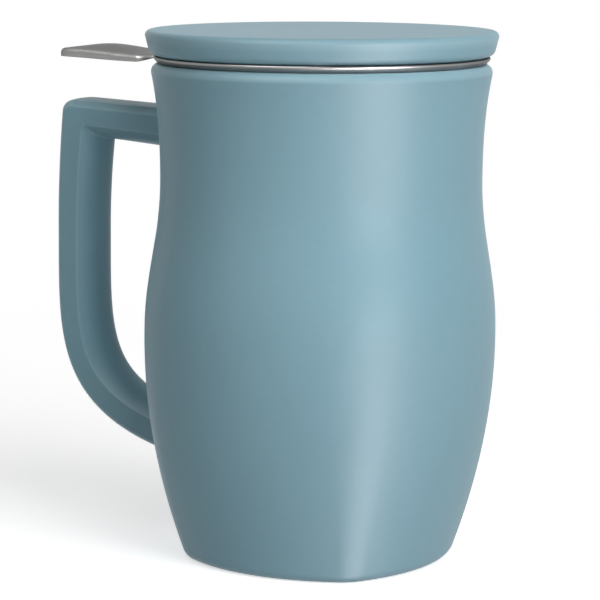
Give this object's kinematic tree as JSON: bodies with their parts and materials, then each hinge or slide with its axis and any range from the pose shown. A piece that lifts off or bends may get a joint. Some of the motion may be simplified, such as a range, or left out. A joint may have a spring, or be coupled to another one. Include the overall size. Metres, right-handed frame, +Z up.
{
  "type": "lidded tea mug with infuser",
  "caption": "Tall ceramic tea mug, round at the rim and a rounded square at the foot, with an angular loop handle, a loose disc lid and a lift-out steel basket infuser.",
  "frame": {"origin": "middle of the foot, on the plane that the mug stands on", "axes": "+Z up along the mug's axis; the handle and the infuser's lift tab point along -X; the part is symmetric about the XZ plane"},
  "size_m": [0.1246, 0.0902, 0.1364],
  "materials": {
    "body_glaze": "satin",
    "lid_glaze": "satin",
    "rim_steel": "satin",
    "basket_steel": "satin"
  },
  "bodies": {
    "mug": {"mug_body": "body_glaze", "handle": "body_glaze"},
    "infuser": {"infuser_rim": "rim_steel", "basket_collar": "basket_steel", "basket_wall": "basket_steel", "basket_floor": "basket_steel"},
    "lid": {"lid": "lid_glaze"}
  },
  "joints": [
    {"name": "infuser_lift", "type": "slide", "parent": "mug", "child": "infuser", "axis": [0, 0, 1], "range_m": [0, 0.105]},
    {"name": "lid_lift", "type": "slide", "parent": "infuser", "child": "lid", "axis": [0, 0, 1], "range_m": [0, 0.045]}
  ]
}
